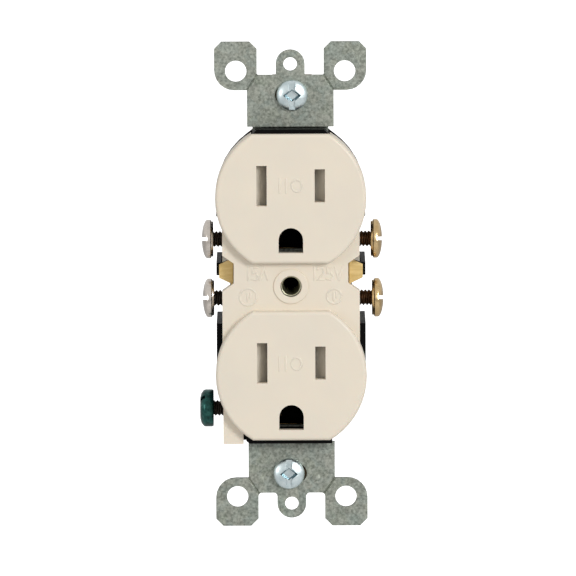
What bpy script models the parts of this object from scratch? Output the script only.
"""Duplex wall outlet, 15 A pattern, tamper resistant, on a steel mounting strap.

Frame: +Z up along the strap, +X to the right seen from the front, -Y out of the wall.
The origin is the middle of the strap, on the wall plane that the ears rest on.
Lengths are written in millimetres and turned to metres by mm().
"""

import math

import bmesh
import bpy
from mathutils import Matrix, Vector

# Driving dimensions, in millimetres.
GAP = 0.3
SHEET = 1.3
FACE_PITCH = 38.9
FACE_RADIUS = 16.5
FACE_FLAT = 14.2
FACE_FRONT = 6.0
BRIDGE_FRONT = 3.5
BRIDGE_HALF = 15.0
SCREW_PITCH = 83.34
BLADE_PITCH = 12.7
SLOT_RISE = 2.9
GROUND_DROP = 11.9
SLOT_WIDTH = 2.25
NEUTRAL_SLOT = 8.85
HOT_SLOT = 7.25
GROUND_RADIUS = 2.67
GROUND_FLAT = 2.83
BODY_HALF = 16.3
BODY_BACK = 20.0
BODY_FLAT = 34.25
TERMINAL_MID = 2.87
TERMINAL_PITCH = 13.0
TERMINAL_DEPTH = 4.7
PLATE_IN = 12.3
PLATE_OUT = 13.1
SHANK_END = 10.6
HEAD_RADIUS = 4.25
HEAD_DEPTH = 2.5
RIB_LOW = 1.85
RIB_HIGH = 4.65
BEND_HALF = 8.3
EAR_HOLE_X = 11.87
EAR_HOLE_Z = 46.85
TAB_HOLE_Z = 48.4
GROUND_SCREW_HEIGHT = -28.3
GROUND_SCREW_DEPTH = 7.0
THREAD_RADIUS = 1.75
THREAD_CLEAR = THREAD_RADIUS + GAP
CIRCLE_STEPS = 24

# Depths along Y, in millimetres.
STRAP_FRONT = -SHEET
FACE_Y = STRAP_FRONT - FACE_FRONT
BRIDGE_Y = STRAP_FRONT - BRIDGE_FRONT
COVER_BACK = STRAP_FRONT
WINDOW_FLOOR = -2.2
CEILING_Y = FACE_Y + 2.2
BODY_FRONT = COVER_BACK + GAP
STRIP_FRONT = 2.7
STRIP_BACK = STRIP_FRONT + SHEET
TRAY_FRONT = -2.6
TRAY_BACK = -1.4
SHUTTER_FRONT = CEILING_Y + GAP
SHUTTER_BACK = TRAY_FRONT - GAP
BASE_FRONT = 12.0
BASE_BACK = 12.8
FLOOR_Y = BASE_BACK + GAP
FLANGE_Z = 34.7

FACES = {"top": FACE_PITCH / 2, "bottom": -FACE_PITCH / 2}
SIDES = {"neutral": -1, "hot": 1}
SLOT_X = BLADE_PITCH / 2
WELL_X = PLATE_OUT + GAP


def mm(*values):
    """Millimetres as metres: one number, or a Vector of several."""
    scaled = [value / 1000 for value in values]
    return scaled[0] if len(scaled) == 1 else Vector(scaled)


def clear_scene():
    for obj in list(bpy.data.objects):
        bpy.data.objects.remove(obj, do_unlink=True)


def new_collection(name):
    collection = bpy.data.collections.new(name)
    bpy.context.scene.collection.children.link(collection)
    return collection


def principled(name, colour, roughness, metallic=0.0):
    material = bpy.data.materials.new(name)
    material.use_nodes = True
    shader = material.node_tree.nodes["Principled BSDF"]
    shader.inputs["Base Color"].default_value = (*colour, 1.0)
    shader.inputs["Roughness"].default_value = roughness
    shader.inputs["Metallic"].default_value = metallic
    material.diffuse_color = (*colour, 1.0)
    return material


def add_object(name, mesh, material, collection):
    obj = bpy.data.objects.new(name, mesh)
    if material:
        mesh.materials.append(material)
    collection.objects.link(obj)
    return obj


def smooth_round(obj, angle=35):
    obj.data.shade_smooth()
    obj.data.set_sharp_from_angle(angle=math.radians(angle))


def as_cutter(obj):
    for collection in list(obj.users_collection):
        collection.objects.unlink(obj)
    cutters.objects.link(obj)
    obj.hide_render = True
    obj.display_type = "WIRE"


def combine(target, operation, tools):
    for tool in tools:
        modifier = target.modifiers.new(tool.name, "BOOLEAN")
        modifier.operation = operation
        modifier.solver = "EXACT"
        modifier.object = tool
        as_cutter(tool)


def join(target, *tools):
    combine(target, "UNION", tools)


def cut(target, *tools):
    combine(target, "DIFFERENCE", tools)


def arc(centre, radius, start, end, steps):
    """Points of an arc in a plane, angles in degrees, both ends included."""
    points = []
    for index in range(steps + 1):
        angle = math.radians(start + (end - start) * index / steps)
        points.append((centre[0] + radius * math.cos(angle), centre[1] + radius * math.sin(angle)))
    return points


def circle(centre, radius, steps=CIRCLE_STEPS):
    return arc(centre, radius, 0, 360, steps)[:-1]


def rectangle(x_low, x_high, z_low, z_high):
    return [(x_low, z_low), (x_high, z_low), (x_high, z_high), (x_low, z_high)]


def flatted_circle(centre_z, radius, flat, steps=14):
    """A circle with its top and bottom cut flat."""
    edge = math.degrees(math.asin(flat / radius))
    right = arc((0, centre_z), radius, -edge, edge, steps)
    left = arc((0, centre_z), radius, 180 - edge, 180 + edge, steps)
    return right + left


def mirrored(points):
    return [(-x, z) for x, z in reversed(points)]


PLANES = {
    "XZ": Matrix.Rotation(math.radians(90), 4, "X"),
    "XY": Matrix.Identity(4),
    "YZ": Matrix.Rotation(math.radians(90), 4, "Y") @ Matrix.Rotation(math.radians(90), 4, "Z"),
}


def prism(name, outlines, low, high, material=None, plane="XZ", collection=None):
    """A flat outline, with holes if there is more than one, given thickness across its plane.

    low and high bound it along the axis across the plane: Y for XZ, Z for XY, X for YZ.
    """
    curve = bpy.data.curves.new(name, "CURVE")
    curve.dimensions = "2D"
    curve.fill_mode = "BOTH"
    curve.extrude = mm((high - low) / 2)
    for outline in outlines:
        spline = curve.splines.new("POLY")
        spline.points.add(len(outline) - 1)
        for point, place in zip(spline.points, outline):
            point.co = (*mm(*place), 0, 1)
        spline.use_cyclic_u = True
    flat = bpy.data.objects.new(name + "_outline", curve)
    middle = mm((low + high) / 2)
    across = {"XZ": (0, middle, 0), "XY": (0, 0, middle), "YZ": (middle, 0, 0)}[plane]
    flat.matrix_world = Matrix.Translation(across) @ PLANES[plane]
    (collection or parts).objects.link(flat)
    return curve_to_solid(flat, name, material, collection or parts)


def curve_to_solid(curve_object, name, material, collection):
    bpy.context.view_layer.update()
    graph = bpy.context.evaluated_depsgraph_get()
    mesh = bpy.data.meshes.new_from_object(curve_object.evaluated_get(graph))
    mesh.name = name
    work = bmesh.new()
    work.from_mesh(mesh)
    bmesh.ops.remove_doubles(work, verts=work.verts, dist=mm(0.001))
    bmesh.ops.recalc_face_normals(work, faces=work.faces)
    work.to_mesh(mesh)
    work.free()
    mesh.materials.clear()
    obj = add_object(name, mesh, material, collection)
    obj.matrix_world = curve_object.matrix_world.copy()
    bpy.data.objects.remove(curve_object, do_unlink=True)
    return obj


def box(name, x_range, y_range, z_range, material=None):
    mesh = bpy.data.meshes.new(name)
    work = bmesh.new()
    bmesh.ops.create_cube(work, size=1.0)
    spans = [mm(high - low) for low, high in (x_range, y_range, z_range)]
    bmesh.ops.scale(work, vec=spans, verts=work.verts)
    work.to_mesh(mesh)
    work.free()
    obj = add_object(name, mesh, material, parts)
    obj.location = [mm((low + high) / 2) for low, high in (x_range, y_range, z_range)]
    return obj


def rod(name, radius, start, length, direction, material=None, steps=CIRCLE_STEPS):
    """A cylinder from start along direction, as a primitive turned from +Z."""
    mesh = bpy.data.meshes.new(name)
    work = bmesh.new()
    bmesh.ops.create_cone(work, cap_ends=True, segments=steps, radius1=mm(radius),
                          radius2=mm(radius), depth=mm(length))
    work.to_mesh(mesh)
    work.free()
    obj = add_object(name, mesh, material, parts)
    heading = Vector(direction)
    obj.rotation_euler = heading.to_track_quat("Z", "Y").to_euler()
    obj.location = mm(*start) + heading * mm(length / 2)
    return obj


def turned(name, profile, place, direction, material=None, steps=CIRCLE_STEPS):
    """A turned piece: profile is (radius, distance along direction), from its far end to its near end."""
    mesh = bpy.data.meshes.new(name)
    work = bmesh.new()
    points = [work.verts.new((mm(radius), 0, mm(along))) for radius, along in profile]
    for first, second in zip(points, points[1:]):
        work.edges.new((first, second))
    work.to_mesh(mesh)
    work.free()
    obj = add_object(name, mesh, material, parts)
    screw = obj.modifiers.new("turn", "SCREW")
    screw.steps = steps
    screw.render_steps = steps
    screw.use_merge_vertices = True
    screw.merge_threshold = mm(0.01)
    screw.use_smooth_shade = True
    obj.rotation_euler = Vector(direction).to_track_quat("Z", "Y").to_euler()
    obj.location = mm(*place)
    return obj


def thickened(path, thickness):
    """The closed outline of a strip of sheet that follows an open path."""
    left = []
    right = []
    last = len(path) - 1
    for index, point in enumerate(path):
        before = Vector(point) - Vector(path[index - 1]) if index > 0 else None
        after = Vector(path[index + 1]) - Vector(point) if index < last else None
        before = (before or after).normalized()
        after = (after or before).normalized()
        middle = (before + after).normalized()
        normal = Vector((-middle.y, middle.x))
        reach = thickness / 2 / max(0.3, middle.dot(after))
        left.append(tuple(Vector(point) + normal * reach))
        right.append(tuple(Vector(point) - normal * reach))
    return left + right[::-1]


def rounded(path, radius, steps=4):
    """The path with each inner corner replaced by an arc of the given radius."""
    points = [path[0]]
    for before, corner, after in zip(path, path[1:], path[2:]):
        corner = Vector(corner)
        back = (Vector(before) - corner).normalized()
        ahead = (Vector(after) - corner).normalized()
        half = back.angle(ahead) / 2
        centre = corner + (back + ahead).normalized() * (radius / math.sin(half))
        reach = radius / math.tan(half)
        start = corner + back * reach - centre
        end = corner + ahead * reach - centre
        for index in range(steps + 1):
            direction = start.lerp(end, index / steps).normalized()
            points.append(tuple(centre + direction * radius))
    points.append(path[-1])
    return points


clear_scene()
parts = new_collection("duplex_wall_outlet")
cutters = new_collection("cutters")

almond = principled("light_almond_plastic", (0.78, 0.70, 0.58), 0.38)
black = principled("black_plastic", (0.012, 0.012, 0.013), 0.45)
galvanised = principled("galvanised_steel", (0.33, 0.34, 0.31), 0.5, 1.0)
zinc = principled("bright_zinc", (0.75, 0.80, 0.80), 0.25, 1.0)
silver = principled("nickel_plate", (0.62, 0.58, 0.53), 0.3, 1.0)
brass = principled("brass", (0.72, 0.50, 0.24), 0.32, 1.0)
green = principled("green_lacquer", (0.01, 0.09, 0.05), 0.3, 0.3)
steel = principled("spring_steel", (0.45, 0.45, 0.45), 0.35, 1.0)
shutter_grey = principled("shutter_plastic", (0.5, 0.46, 0.39), 0.5)
fibre = principled("fibre", (0.33, 0.25, 0.17), 0.8)


def slot_centre(face_z):
    return face_z + SLOT_RISE


def ground_centre(face_z):
    return slot_centre(face_z) - GROUND_DROP


def ground_outline(face_z, grow=0.0):
    """A U shape with a round top and a flat foot, for a round pin."""
    z = ground_centre(face_z)
    radius = GROUND_RADIUS + grow
    foot = z - GROUND_FLAT - grow
    return [(radius, foot)] + arc((0, z), radius, 0, 180, 12) + [(-radius, foot)]


def body_outline(radius, flat):
    """Two faces' circles with straight sides between them and flat ends."""
    edge = math.degrees(math.asin((flat - FACE_PITCH / 2) / radius))
    quarter = arc((0, FACE_PITCH / 2), radius, 0, edge, 7)
    upper = quarter + mirrored(quarter)
    return upper + [(-x, -z) for x, z in upper]


ASSEMBLY_SCREWS = {"top": (-6.8, 29.7), "bottom": (6.8, -29.7)}


def notch_outline(side, mouth=7.9, floor=4.4, depth=2.5, reach=1.0):
    """The break-off window in the bridge's edge, with slanted ends."""
    x_out = BRIDGE_HALF
    x_in = BRIDGE_HALF - depth
    slope = (mouth - floor) / 2 / depth
    beyond = mouth / 2 + slope * reach
    middle = TERMINAL_MID
    points = [(x_in, middle - floor / 2), (x_out + reach, middle - beyond),
              (x_out + reach, middle + beyond), (x_in, middle + floor / 2)]
    return points if side > 0 else mirrored(points)


def fin_outline(side, grow=0.0):
    """The contact strip's tapered fin in the window, which is snapped off to part the plates."""
    inner = 12.7 - grow
    outer = 15.7 + 4 * grow
    low = TERMINAL_MID - 2.9 - grow
    high = TERMINAL_MID + 2.9 + grow
    tip = TERMINAL_MID - 1.45 - grow, TERMINAL_MID + 1.45 + grow
    points = [(inner, low), (outer, tip[0]), (outer, tip[1]), (inner, high)]
    return points if side > 0 else mirrored(points)


def make_front_cover():
    """Moulded cover: two raised faces on a lower bridge, hollow behind for the shutters."""
    bridge_end = FACE_PITCH / 2
    lug = rectangle(-14.9, -10.5, -34.7, -bridge_end)
    cover = prism("front_cover", [rectangle(-BRIDGE_HALF, BRIDGE_HALF, -bridge_end, bridge_end)],
                  BRIDGE_Y, COVER_BACK, almond)
    join(cover, prism("cover_lug", [lug], BRIDGE_Y, COVER_BACK))
    for label, face_z in FACES.items():
        face = flatted_circle(face_z, FACE_RADIUS, FACE_FLAT, 18)
        join(cover, prism(f"cover_face_{label}", [face], FACE_Y, COVER_BACK))
    join(cover, rod("cover_ring", 3.85, (0, BRIDGE_Y - 0.35, 0), 2.0, (0, 1, 0)))
    for label, face_z in FACES.items():
        inner = flatted_circle(face_z, FACE_RADIUS - 1.7, FACE_FLAT - 1.8, 14)
        cut(cover, prism(f"cover_hollow_{label}", [inner], CEILING_Y, COVER_BACK + 1))
        end_z = math.copysign(33.6, face_z)
        reach = (-8.6, 8.6) if face_z > 0 else (-10.2, 9.2)
        cut(cover, box(f"cover_end_notch_{label}", reach, (-5.9, COVER_BACK + 1),
                       (end_z - 2.0, end_z + 2.0)))
        for side_name, side in SIDES.items():
            length = NEUTRAL_SLOT if side < 0 else HOT_SLOT
            z = slot_centre(face_z)
            slot = (side * SLOT_X - SLOT_WIDTH / 2, side * SLOT_X + SLOT_WIDTH / 2)
            cut(cover, box(f"cover_slot_{label}_{side_name}", slot, (FACE_Y - 1, CEILING_Y + 1),
                           (z - length / 2, z + length / 2)))
        hole = ground_outline(face_z)
        cut(cover, prism(f"cover_ground_hole_{label}", [hole], FACE_Y - 1, CEILING_Y + 1))
    for side_name, side in SIDES.items():
        window = notch_outline(side)
        below_fin = window[:2] + [(side * 16.0, TERMINAL_MID), (window[0][0], TERMINAL_MID)]
        if side < 0:
            below_fin = window[-2:] + [(window[-1][0], TERMINAL_MID), (side * 16.0, TERMINAL_MID)]
        cut(cover, prism(f"cover_window_{side_name}", [window], BRIDGE_Y - 1, WINDOW_FLOOR),
            prism(f"cover_window_low_{side_name}", [below_fin], WINDOW_FLOOR - 1, COVER_BACK + 1),
            prism(f"cover_fin_slot_{side_name}", [fin_outline(side, 0.25)], WINDOW_FLOOR - 1,
                  COVER_BACK + 1))
        pocket = sorted((side * 5.2, side * 11.6))
        cut(cover, box(f"cover_pocket_{side_name}", pocket, (-2.9, COVER_BACK + 1), (-4.8, 4.8)))
    cut(cover, rod("cover_centre_hole", 2.3, (0, BRIDGE_Y - 1, 0), 8, (0, 1, 0)))
    cut(cover, rod("cover_eyelet_bore", 2.7, (0, BRIDGE_Y + 0.5, 0), 6, (0, 1, 0)))
    for label, (x, z) in ASSEMBLY_SCREWS.items():
        join(cover, rod(f"cover_boss_{label}", 2.0, (x, CEILING_Y - 0.5, z),
                        COVER_BACK - CEILING_Y + 0.5, (0, 1, 0)))
        cut(cover, rod(f"cover_boss_hole_{label}", 1.35, (x, -4.7, z), 6, (0, 1, 0), steps=16))
    return cover


def make_back_body():
    """Black moulded body: pockets for the contacts, wells for the side wires."""
    body = prism("back_body", [body_outline(BODY_HALF, BODY_FLAT)], BODY_FRONT, 5.0, black)
    join(body, prism("body_rear", [body_outline(15.1, 33.2)], 4.0, BODY_BACK),
         box("body_middle", (-BODY_HALF, BODY_HALF), (4.0, BODY_BACK), (-15.5, 15.5)),
         box("body_ground_block", (-14.8, -8.6), (BODY_FRONT, 12.5), (-34.3, -24.0)))
    z_low = slot_centre(FACES["bottom"])
    z_high = slot_centre(FACES["top"])
    for name, side in SIDES.items():
        for label, z in (("low", z_low), ("high", z_high)):
            cut(body, box(f"body_contact_{name}_{label}", sorted((side * 4.1, side * 11.5)),
                          (BODY_FRONT - 1, FLOOR_Y), (z - 3.6, z + 3.6)))
        cut(body, box(f"body_bus_{name}", sorted((side * 8.2, side * 11.5)),
                      (BODY_FRONT - 1, FLOOR_Y), (z_low - 3.6, z_high + 3.6)))
        cut(body, box(f"body_terminals_{name}", sorted((side * 8.2, side * 15.25)),
                      (BODY_FRONT - 1, FLOOR_Y), (-8.0, 13.8)))
        well = sorted((side * WELL_X, side * 18.0))
        cut(body, box(f"body_well_low_{name}", well, (BODY_FRONT - 1, BODY_BACK + 1), (-8.6, RIB_LOW)))
        cut(body, box(f"body_well_high_{name}", well, (BODY_FRONT - 1, BODY_BACK + 1), (RIB_HIGH, 15.0)))
        cut(body, box(f"body_rib_top_{name}", well, (BODY_FRONT - 1, 0.6), (RIB_LOW - 1, RIB_HIGH + 1)))
        for end in (-1, 1):
            z = TERMINAL_MID + end * TERMINAL_PITCH / 2
            cut(body, rod(f"body_shank_hole_{name}_{end}", 2.1, (side * 5.9, TERMINAL_DEPTH, z), 3.4,
                          (side, 0, 0), steps=16))
        for label, z in clip_heights().items():
            cut(body, box(f"body_clip_{name}_{label}", sorted((side * 8.6, side * 12.9)),
                          (FLOOR_Y - 1, 18.4), (z - 2.5, z + 2.5)))
            cut(body, rod(f"body_wire_hole_{name}_{label}", 1.25, (side * 10.1, 17.5, z), 4,
                          (0, 1, 0), steps=16))
    strip = [rectangle(-9.75, 9.75, 31.9, 36), rectangle(-9.75, 9.75, -36, -31.9),
             rectangle(-5.5, 5.5, -32.5, 32.5)]
    for index, outline in enumerate(strip):
        cut(body, prism(f"body_strip_{index}", [outline], BODY_FRONT - 1, STRIP_BACK + GAP))
    for label, face_z in FACES.items():
        z = ground_centre(face_z)
        cut(body, box(f"body_ground_clip_{label}", (-4.6, 4.6), (3.0, 14.6), (z - 3.4, z + 6.9)))
    cut(body, rod("body_eyelet_bore", 3.9, (0, 3.5, 0), 9.0, (0, 1, 0)))
    for label, (x, z) in ASSEMBLY_SCREWS.items():
        cut(body, rod(f"body_screw_hole_{label}", 1.35, (x, -3, z), 24, (0, 1, 0), steps=16),
            rod(f"body_screw_seat_{label}", 2.3, (x, 18.2, z), 3, (0, 1, 0)))
    z = GROUND_SCREW_HEIGHT
    cut(body, box("body_ground_tab", (-16.5, -4.0), (BODY_FRONT - 1, STRIP_BACK + GAP), (z - 3.5, z + 3.5)),
        box("body_ground_leg", (-16.5, -12.5), (2.0, 11.2), (z - 3.5, z + 3.5)),
        box("body_ground_head", (-16.5, -14.3), (2.4, 11.6), (z - 4.6, z + 4.6)),
        rod("body_ground_screw_hole", 2.3, (-8.8, GROUND_SCREW_DEPTH, z), 5, (-1, 0, 0)))
    return body


def clip_heights():
    return {"top": TERMINAL_MID + 5.5, "bottom": TERMINAL_MID - 5.5}


def ear_outline(corner_radius=0.3):
    """The upper half of the strap seen from the front, right side, from the middle line outwards."""
    ear_hole = (EAR_HOLE_X, EAR_HOLE_Z)
    corner = 4.4
    tab = arc((0, TAB_HOLE_Z), 3.15, 90, 0, 6)
    notch = rounded([tab[-1], (3.15, 46.0), (7.3, 46.0), (7.3, 51.7)], corner_radius)
    end = notch[1:] + [(8.9, 53.3), (15.0, 53.3), (16.6, 51.7)]
    inner = arc((ear_hole[0] + 0.33, 42.7 + corner), corner, 0, -90, 6)
    neck = [(9.45, 42.7), (9.45, 31.2 + 1.7)]
    strip = [(5.2, 31.2 + 1.7), (5.2, 31.0), (3.9, 30.0), (3.9, 17.5), (5.2, 16.5), (5.2, 5.5), (4.2, 4.5)]
    return tab + end + inner + neck + strip


def lower_outline():
    """The lower half of the strap, right side, from the middle outwards to the tab."""
    ears = [(x, -z) for x, z in ear_outline(0.8)]
    ends = [point for point in ears if point[1] <= -31.2]
    strip = [(4.2, -9.5), (3.9, -10.5), (3.9, -21.5), (5.2, -22.5)]
    return strip + ends[::-1]


def make_mounting_strap():
    """Bent sheet: ears and necks in the wall plane, a middle strip set back between cover and body."""
    centre = STRAP_FRONT + SHEET / 2
    back = STRIP_FRONT + SHEET / 2
    bend = FLANGE_Z + SHEET / 2
    path = [(centre, 56), (centre, bend), (back, bend), (back, -bend), (centre, -bend), (centre, -56)]
    side_view = thickened(path, SHEET)
    strap = prism("mounting_strap", [side_view], -20, 20, galvanised, "YZ")
    right = ear_outline() + lower_outline()
    outline = right + mirrored(right)
    shape = prism("strap_outline", [outline], -6, 8)
    combine(strap, "INTERSECT", [shape])
    z = GROUND_SCREW_HEIGHT
    join(strap, box("strap_ground_tab", (-14.2, -4.6), (STRIP_FRONT, STRIP_BACK), (z - 3.2, z + 3.2)),
         box("strap_ground_leg", (-14.2, -12.9), (STRIP_FRONT, 10.6), (z - 3.2, z + 3.2)))
    cut(strap, rod("strap_ground_thread", THREAD_CLEAR, (-18, GROUND_SCREW_DEPTH, z), 10, (1, 0, 0)))
    for end in (-1, 1):
        for side in (-1, 1):
            cut(strap, box(f"strap_bend_relief_{end}_{side}", sorted((side * BEND_HALF, side * 10)), (0, 8),
                           sorted((end * 32, end * 37))))
            cut(strap, rod(f"strap_ear_hole_{end}_{side}", 2.35,
                           (side * EAR_HOLE_X, -5, end * EAR_HOLE_Z), 10, (0, 1, 0)))
        cut(strap, rod(f"strap_tab_hole_{end}", 1.52, (0, -5, end * TAB_HOLE_Z), 10, (0, 1, 0), steps=16))
        slot_z = end * SCREW_PITCH / 2
        half = (6.7 - 4.1) / 2
        slot = arc((half, slot_z), 2.05, -90, 90, 8) + arc((-half, slot_z), 2.05, 90, 270, 8)
        cut(strap, prism(f"strap_slot_{end}", [slot], -5, 3))
    for label, face_z in FACES.items():
        z = ground_centre(face_z)
        cut(strap, prism(f"strap_pin_hole_{label}", [ground_outline(face_z, 0.25)], 1, 6),
            rod(f"strap_rivet_hole_{label}", 1.0, (0, 1, z + 5.2), 6, (0, 1, 0), steps=16))
    cut(strap, rod("strap_eyelet_hole", 2.55, (0, 1, 0), 6, (0, 1, 0)))
    for end in (-1, 1):
        for side in (-1, 1):
            cut(strap, score_cutter(f"strap_score_{end}_{side}", side, end))
    for side in (-1, 1):
        cut(strap, dimple_cutter(f"strap_dimple_{side}", side * 6.2))
    return strap


def score_cutter(name, side, end, width=0.55, depth=0.28):
    """A V groove in the strap's front, across the root of an ear, where the ear snaps off."""
    start = Vector((7.3, 46.0))
    finish = Vector((9.45, 42.7))
    middle = (start + finish) / 2
    heading = math.atan2(finish.y - start.y, finish.x - start.x)
    groove = box(name, (-3.5, 3.5), (-width / 2, width / 2), (-width / 2, width / 2))
    tilt = Matrix.Rotation(-side * end * heading, 4, "Y") @ Matrix.Rotation(math.radians(45), 4, "X")
    place = Vector((side * middle.x, STRAP_FRONT - width * math.sqrt(0.5) + depth, end * middle.y))
    groove.matrix_world = Matrix.Translation(mm(*place)) @ tilt
    return groove


def dimple_cutter(name, x, radius=1.45, depth=0.4):
    """A shallow round stamp mark in the lower neck."""
    profile = [(radius + 0.3, 1), (radius + 0.3, 0), (radius, 0), (0.35, -depth), (0, -depth)]
    return turned(name, [(0, 1)] + profile, (x, STRAP_FRONT, -42.1), (0, -1, 0), None, 16)


def make_centre_eyelet():
    """Tube for the wall plate's screw: a wider mouth, a threaded bore and a flange behind the strip."""
    outer = 2.25
    bore = 1.55
    flange = 3.5
    mouth = BRIDGE_Y + 0.5 + GAP
    profile = [(bore, 5.0), (flange, 5.0), (flange, STRIP_BACK + GAP), (outer, STRIP_BACK + GAP),
               (outer, mouth), (2.05, mouth), (1.95, -2.0), (bore, -1.2), (bore, 5.0)]
    return turned("centre_eyelet", profile, (0, 0, 0), (0, 1, 0), silver)


def make_assembly_screws():
    for label, (x, z) in ASSEMBLY_SCREWS.items():
        profile = [(0, 19.6), (1.9, 19.6), (1.9, 18.5), (1.05, 18.5), (1.05, -4.2), (0, -4.2)]
        turned(f"assembly_screw_{label}", profile, (x, 0, z), (0, 1, 0), zinc, 16)


def leaf_path(side):
    """One leaf of a blade contact, from its root to its flared tip, beside the slot's middle."""
    reach = [(1.7, BASE_BACK - 0.2), (1.6, 9.5), (1.0, 4.6), (1.65, 1.0)]
    return [(SLOT_X + side * x, y) for x, y in reach]


def make_contact_strip(name, side, material):
    """Stamped strip: a base, two blade contacts, a terminal plate and a break-off fin."""
    z_low = slot_centre(FACES["bottom"])
    z_high = slot_centre(FACES["top"])
    half = 3.2
    plate_low = TERMINAL_MID - 10.5
    plate_high = TERMINAL_MID + 10.5
    base = [(4.45, z_low - half), (4.45, z_low + half), (8.6, z_low + half), (8.6, z_high - half),
            (4.45, z_high - half), (4.45, z_high + half), (11.2, z_high + half), (11.2, plate_high),
            (PLATE_OUT, plate_high), (PLATE_OUT, plate_low), (11.2, plate_low), (11.2, z_low - half)]
    flip = (lambda points: points) if side > 0 else mirrored
    strip = prism(name, [flip(base)], BASE_FRONT, BASE_BACK, material)
    wall = sorted((side * PLATE_IN, side * PLATE_OUT))
    join(strip, box(name + "_plate", wall, (2.0, BASE_BACK), (plate_low, plate_high)),
         box(name + "_riser", wall, (-0.2, 3.0), (TERMINAL_MID - 2.5, TERMINAL_MID + 2.5)),
         prism(name + "_fin", [fin_outline(side)], -0.6, 0.3))
    for label, z in (("low", z_low), ("high", z_high)):
        for leaf in (-1, 1):
            outline = thickened(leaf_path(leaf), 0.6)
            outline = outline if side > 0 else mirrored(outline)
            join(strip, prism(f"{name}_leaf_{label}_{leaf}", [outline], z - half + 0.2, z + half - 0.2,
                              None, "XY"))
    for end in (-1, 1):
        z = TERMINAL_MID + end * TERMINAL_PITCH / 2
        cut(strip, rod(f"{name}_thread_{end}", THREAD_CLEAR, (side * 11, TERMINAL_DEPTH, z), 5,
                       (side, 0, 0)))
    groove = sorted((side * (PLATE_OUT - 0.3), side * (PLATE_OUT + 1)))
    cut(strip, box(name + "_groove", groove, (0.4, BASE_BACK + 1), (TERMINAL_MID - 2.7, TERMINAL_MID + 2.7)))
    return strip


def make_ground_clips():
    """Two spring clips behind the strip, each riveted to it above its pin hole."""
    for label, face_z in FACES.items():
        z = ground_centre(face_z)
        front = STRIP_BACK + GAP
        pin = ground_outline(face_z, 0.5)
        hole = circle((0, z + 5.2), 1.0, 16)
        clip = prism(f"ground_clip_{label}", [rectangle(-4.2, 4.2, z - 3.1, z + 6.5), pin, hole],
                     front, front + 0.8, brass)
        for side in (-1, 1):
            path = [(side * 3.1, front + 0.4), (side * 3.0, 8.0), (side * 2.5, 11.0), (side * 3.0, 14.0)]
            join(clip, prism(f"ground_leaf_{label}_{side}", [thickened(path, 0.7)], z - 2.4, z + 2.4,
                             None, "XY"))
        profile = [(0, 6.1), (1.5, 6.1), (1.5, 5.4), (0.7, 5.4), (0.7, 2.4), (1.5, 2.4), (1.2, 1.8),
                   (0, 1.8)]
        turned(f"ground_rivet_{label}", profile, (0, 0, z + 5.2), (0, 1, 0), silver, 16)


def tongue_outline(up):
    """The tray's end tongue, with slanted ends: it fills the notch in the cover's end."""
    root = up * 32.1
    tip = up * 34.5
    if up > 0:
        return [(-8.3, root), (8.3, root), (8.3, 33.6), (7.3, tip), (-7.3, tip), (-8.3, 33.6)]
    return [(-9.9, root), (-9.9, -33.9), (-9.2, tip), (8.9, tip), (8.9, root)]


def make_shutters():
    """A tray behind each face, with two sprung shutters that slide outwards on it."""
    for label, face_z in FACES.items():
        up = math.copysign(1, face_z)
        slot_z = slot_centre(face_z)
        tray = prism(f"shutter_tray_{label}",
                     [flatted_circle(face_z, FACE_RADIUS - 2.0, FACE_FLAT - 2.2, 14)],
                     TRAY_FRONT, TRAY_BACK, black)
        reach = sorted((up * 28.0, up * 34.0))
        join(tray, box(f"tray_end_{label}", (-7.8, 7.8), (TRAY_FRONT, TRAY_BACK), reach),
             prism(f"tray_tongue_{label}", [tongue_outline(up)], -5.6, TRAY_BACK),
             box(f"tray_foot_{label}", (-5.0, 5.0), (TRAY_FRONT + 0.5, STRIP_FRONT - GAP),
                 sorted((up * 31.9, up * 33.2))))
        for side_name, side in SIDES.items():
            for rail, z_in in (("high", slot_z + 5.2), ("low", slot_z - 6.0)):
                join(tray, box(f"tray_rail_{label}_{side_name}_{rail}", sorted((side * 3.2, side * 10.9)),
                               (SHUTTER_FRONT, TRAY_FRONT + 0.5), (z_in, z_in + 0.8)))
            join(tray, box(f"tray_stop_{label}_{side_name}", sorted((side * 13.2, side * 13.8)),
                           (SHUTTER_FRONT, TRAY_FRONT + 0.5), (slot_z - 1.2, slot_z + 1.2)))
            cut(tray, box(f"tray_slot_{label}_{side_name}", sorted((side * 4.8, side * 7.9)),
                          (TRAY_FRONT - 1, TRAY_BACK + 1), (slot_z - 4.8, slot_z + 4.8)))
        x, z = ASSEMBLY_SCREWS[label]
        cut(tray, prism(f"tray_pin_hole_{label}", [ground_outline(face_z, 0.2)], TRAY_FRONT - 1,
                        TRAY_BACK + 1),
            rod(f"tray_boss_hole_{label}", 2.3, (x, -8, z), 9, (0, 1, 0)))
        for side_name, side in SIDES.items():
            make_shutter(label, side_name, side, slot_z)


def make_shutter(label, side_name, side, slot_z):
    """One shutter: its ramp turns a blade's push into a slide away from the middle."""
    length = SHUTTER_BACK - SHUTTER_FRONT
    ramp = [(-1.45, length - 0.35), (1.3, 0), (1.65, 0), (1.65, length), (-1.45, length)]
    outline = [(SLOT_X + x, SHUTTER_FRONT + y) for x, y in ramp]
    outline = outline if side > 0 else mirrored(outline)
    prism(f"shutter_{label}_{side_name}", [outline], slot_z - 4.9, slot_z + 4.9, shutter_grey, "XY")
    make_shutter_spring(label, side_name, side, slot_z)


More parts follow.
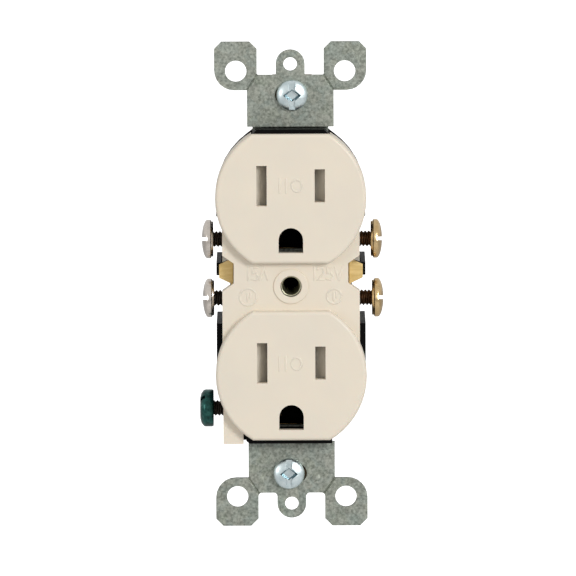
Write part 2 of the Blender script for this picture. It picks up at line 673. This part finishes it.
def make_shutter_spring(label, side_name, side, slot_z):
    """A light coil spring between the shutter and the tray's stop."""
    start = 8.3
    end = 12.9
    wire = 0.14
    radius = 0.68
    turns = 4
    steps = 11
    curve = bpy.data.curves.new(f"spring_{label}_{side_name}", "CURVE")
    curve.dimensions = "3D"
    curve.bevel_depth = mm(wire)
    curve.bevel_resolution = 1
    curve.use_fill_caps = True
    spline = curve.splines.new("POLY")
    spline.points.add(turns * steps)
    for index, point in enumerate(spline.points):
        angle = 2 * math.pi * index / steps
        along = start + wire + (end - start - 2 * wire) * index / (turns * steps)
        point.co = (*mm(side * along, radius * math.cos(angle), radius * math.sin(angle)), 1)
    coil = bpy.data.objects.new(f"shutter_spring_{label}_{side_name}_path", curve)
    coil.location = mm(0, (SHUTTER_FRONT + SHUTTER_BACK) / 2, slot_z)
    parts.objects.link(coil)
    spring = curve_to_solid(coil, f"shutter_spring_{label}_{side_name}", steel, parts)
    smooth_round(spring)


def slotted_screw(name, place, direction, head_radius, head, shank, tilt, material):
    """A pan head screw: its origin lies on its axis, under the head."""
    crown = head * 0.45
    profile = [(0, head), (head_radius * 0.55, head), (head_radius * 0.86, head - crown * 0.35),
               (head_radius, head - crown), (head_radius, 0), (THREAD_RADIUS, 0),
               (THREAD_RADIUS, -shank), (0, -shank)]
    screw = turned(name, profile, place, direction, material)
    slot = box(name + "_slot", (-head_radius - 1, head_radius + 1), (-0.55, 0.55), (head - 1.5, head + 1))
    heading = Vector(direction).to_track_quat("Z", "Y").to_matrix().to_4x4()
    turn = Matrix.Rotation(math.radians(tilt), 4, "Z")
    slot.matrix_world = (Matrix.Translation(mm(*place)) @ heading @ turn
                         @ Matrix.Translation(mm(0, 0, head - 0.25)))
    cut(screw, slot)
    return screw


def make_terminal_screws():
    """Side screws, shown backed out, and the green ground screw."""
    seats = {("neutral", "top"): 17.0, ("neutral", "bottom"): 16.85,
             ("hot", "top"): 17.5, ("hot", "bottom"): 17.75}
    for (side_name, label), seat in seats.items():
        side = SIDES[side_name]
        z = TERMINAL_MID + math.copysign(TERMINAL_PITCH / 2, FACES[label])
        finish = silver if side < 0 else brass
        slotted_screw(f"terminal_screw_{side_name}_{label}", (side * seat, TERMINAL_DEPTH, z),
                      (side, 0, 0), HEAD_RADIUS, HEAD_DEPTH, seat - SHANK_END, 0, finish)
    slotted_screw("ground_screw", (-17.1, GROUND_SCREW_DEPTH, GROUND_SCREW_HEIGHT), (-1, 0, 0),
                  4.1, 2.7, 5.0, 45, green)


def make_mounting_screws():
    """Captive screws for the wall box, each held by a square washer behind the strap."""
    for label, x, end in (("top", 0.4, 1), ("bottom", -0.6, -1)):
        z = end * SCREW_PITCH / 2
        slotted_screw(f"mounting_screw_{label}", (x, STRAP_FRONT - GAP, z), (0, -1, 0), 3.4, 1.9,
                      19.0, 90, zinc)
        square = rectangle(x - 4.3, x + 4.3, z - 4.3, z + 4.3)
        hole = circle((x, z), THREAD_CLEAR)
        prism(f"retaining_washer_{label}", [square, hole], GAP, GAP + 0.8, fibre)


def make_wire_clips():
    """Push-in clips behind the contact strips: each leaf traps a wire against its pocket."""
    for side_name, side in SIDES.items():
        for label, z in clip_heights().items():
            path = rounded([(12.5, 13.4), (12.5, 18.0), (11.6, 18.0), (10.1, 14.6)], 0.45, 3)
            outline = thickened(path, 0.4)
            outline = outline if side > 0 else mirrored(outline)
            prism(f"wire_clip_{side_name}_{label}", [outline], z - 2.1, z + 2.1, steel, "XY")


make_front_cover()
make_back_body()
make_mounting_strap()
make_centre_eyelet()
make_assembly_screws()
make_contact_strip("hot_contact_strip", 1, brass)
make_contact_strip("neutral_contact_strip", -1, brass)
make_ground_clips()
make_shutters()
make_terminal_screws()
make_mounting_screws()
make_wire_clips()
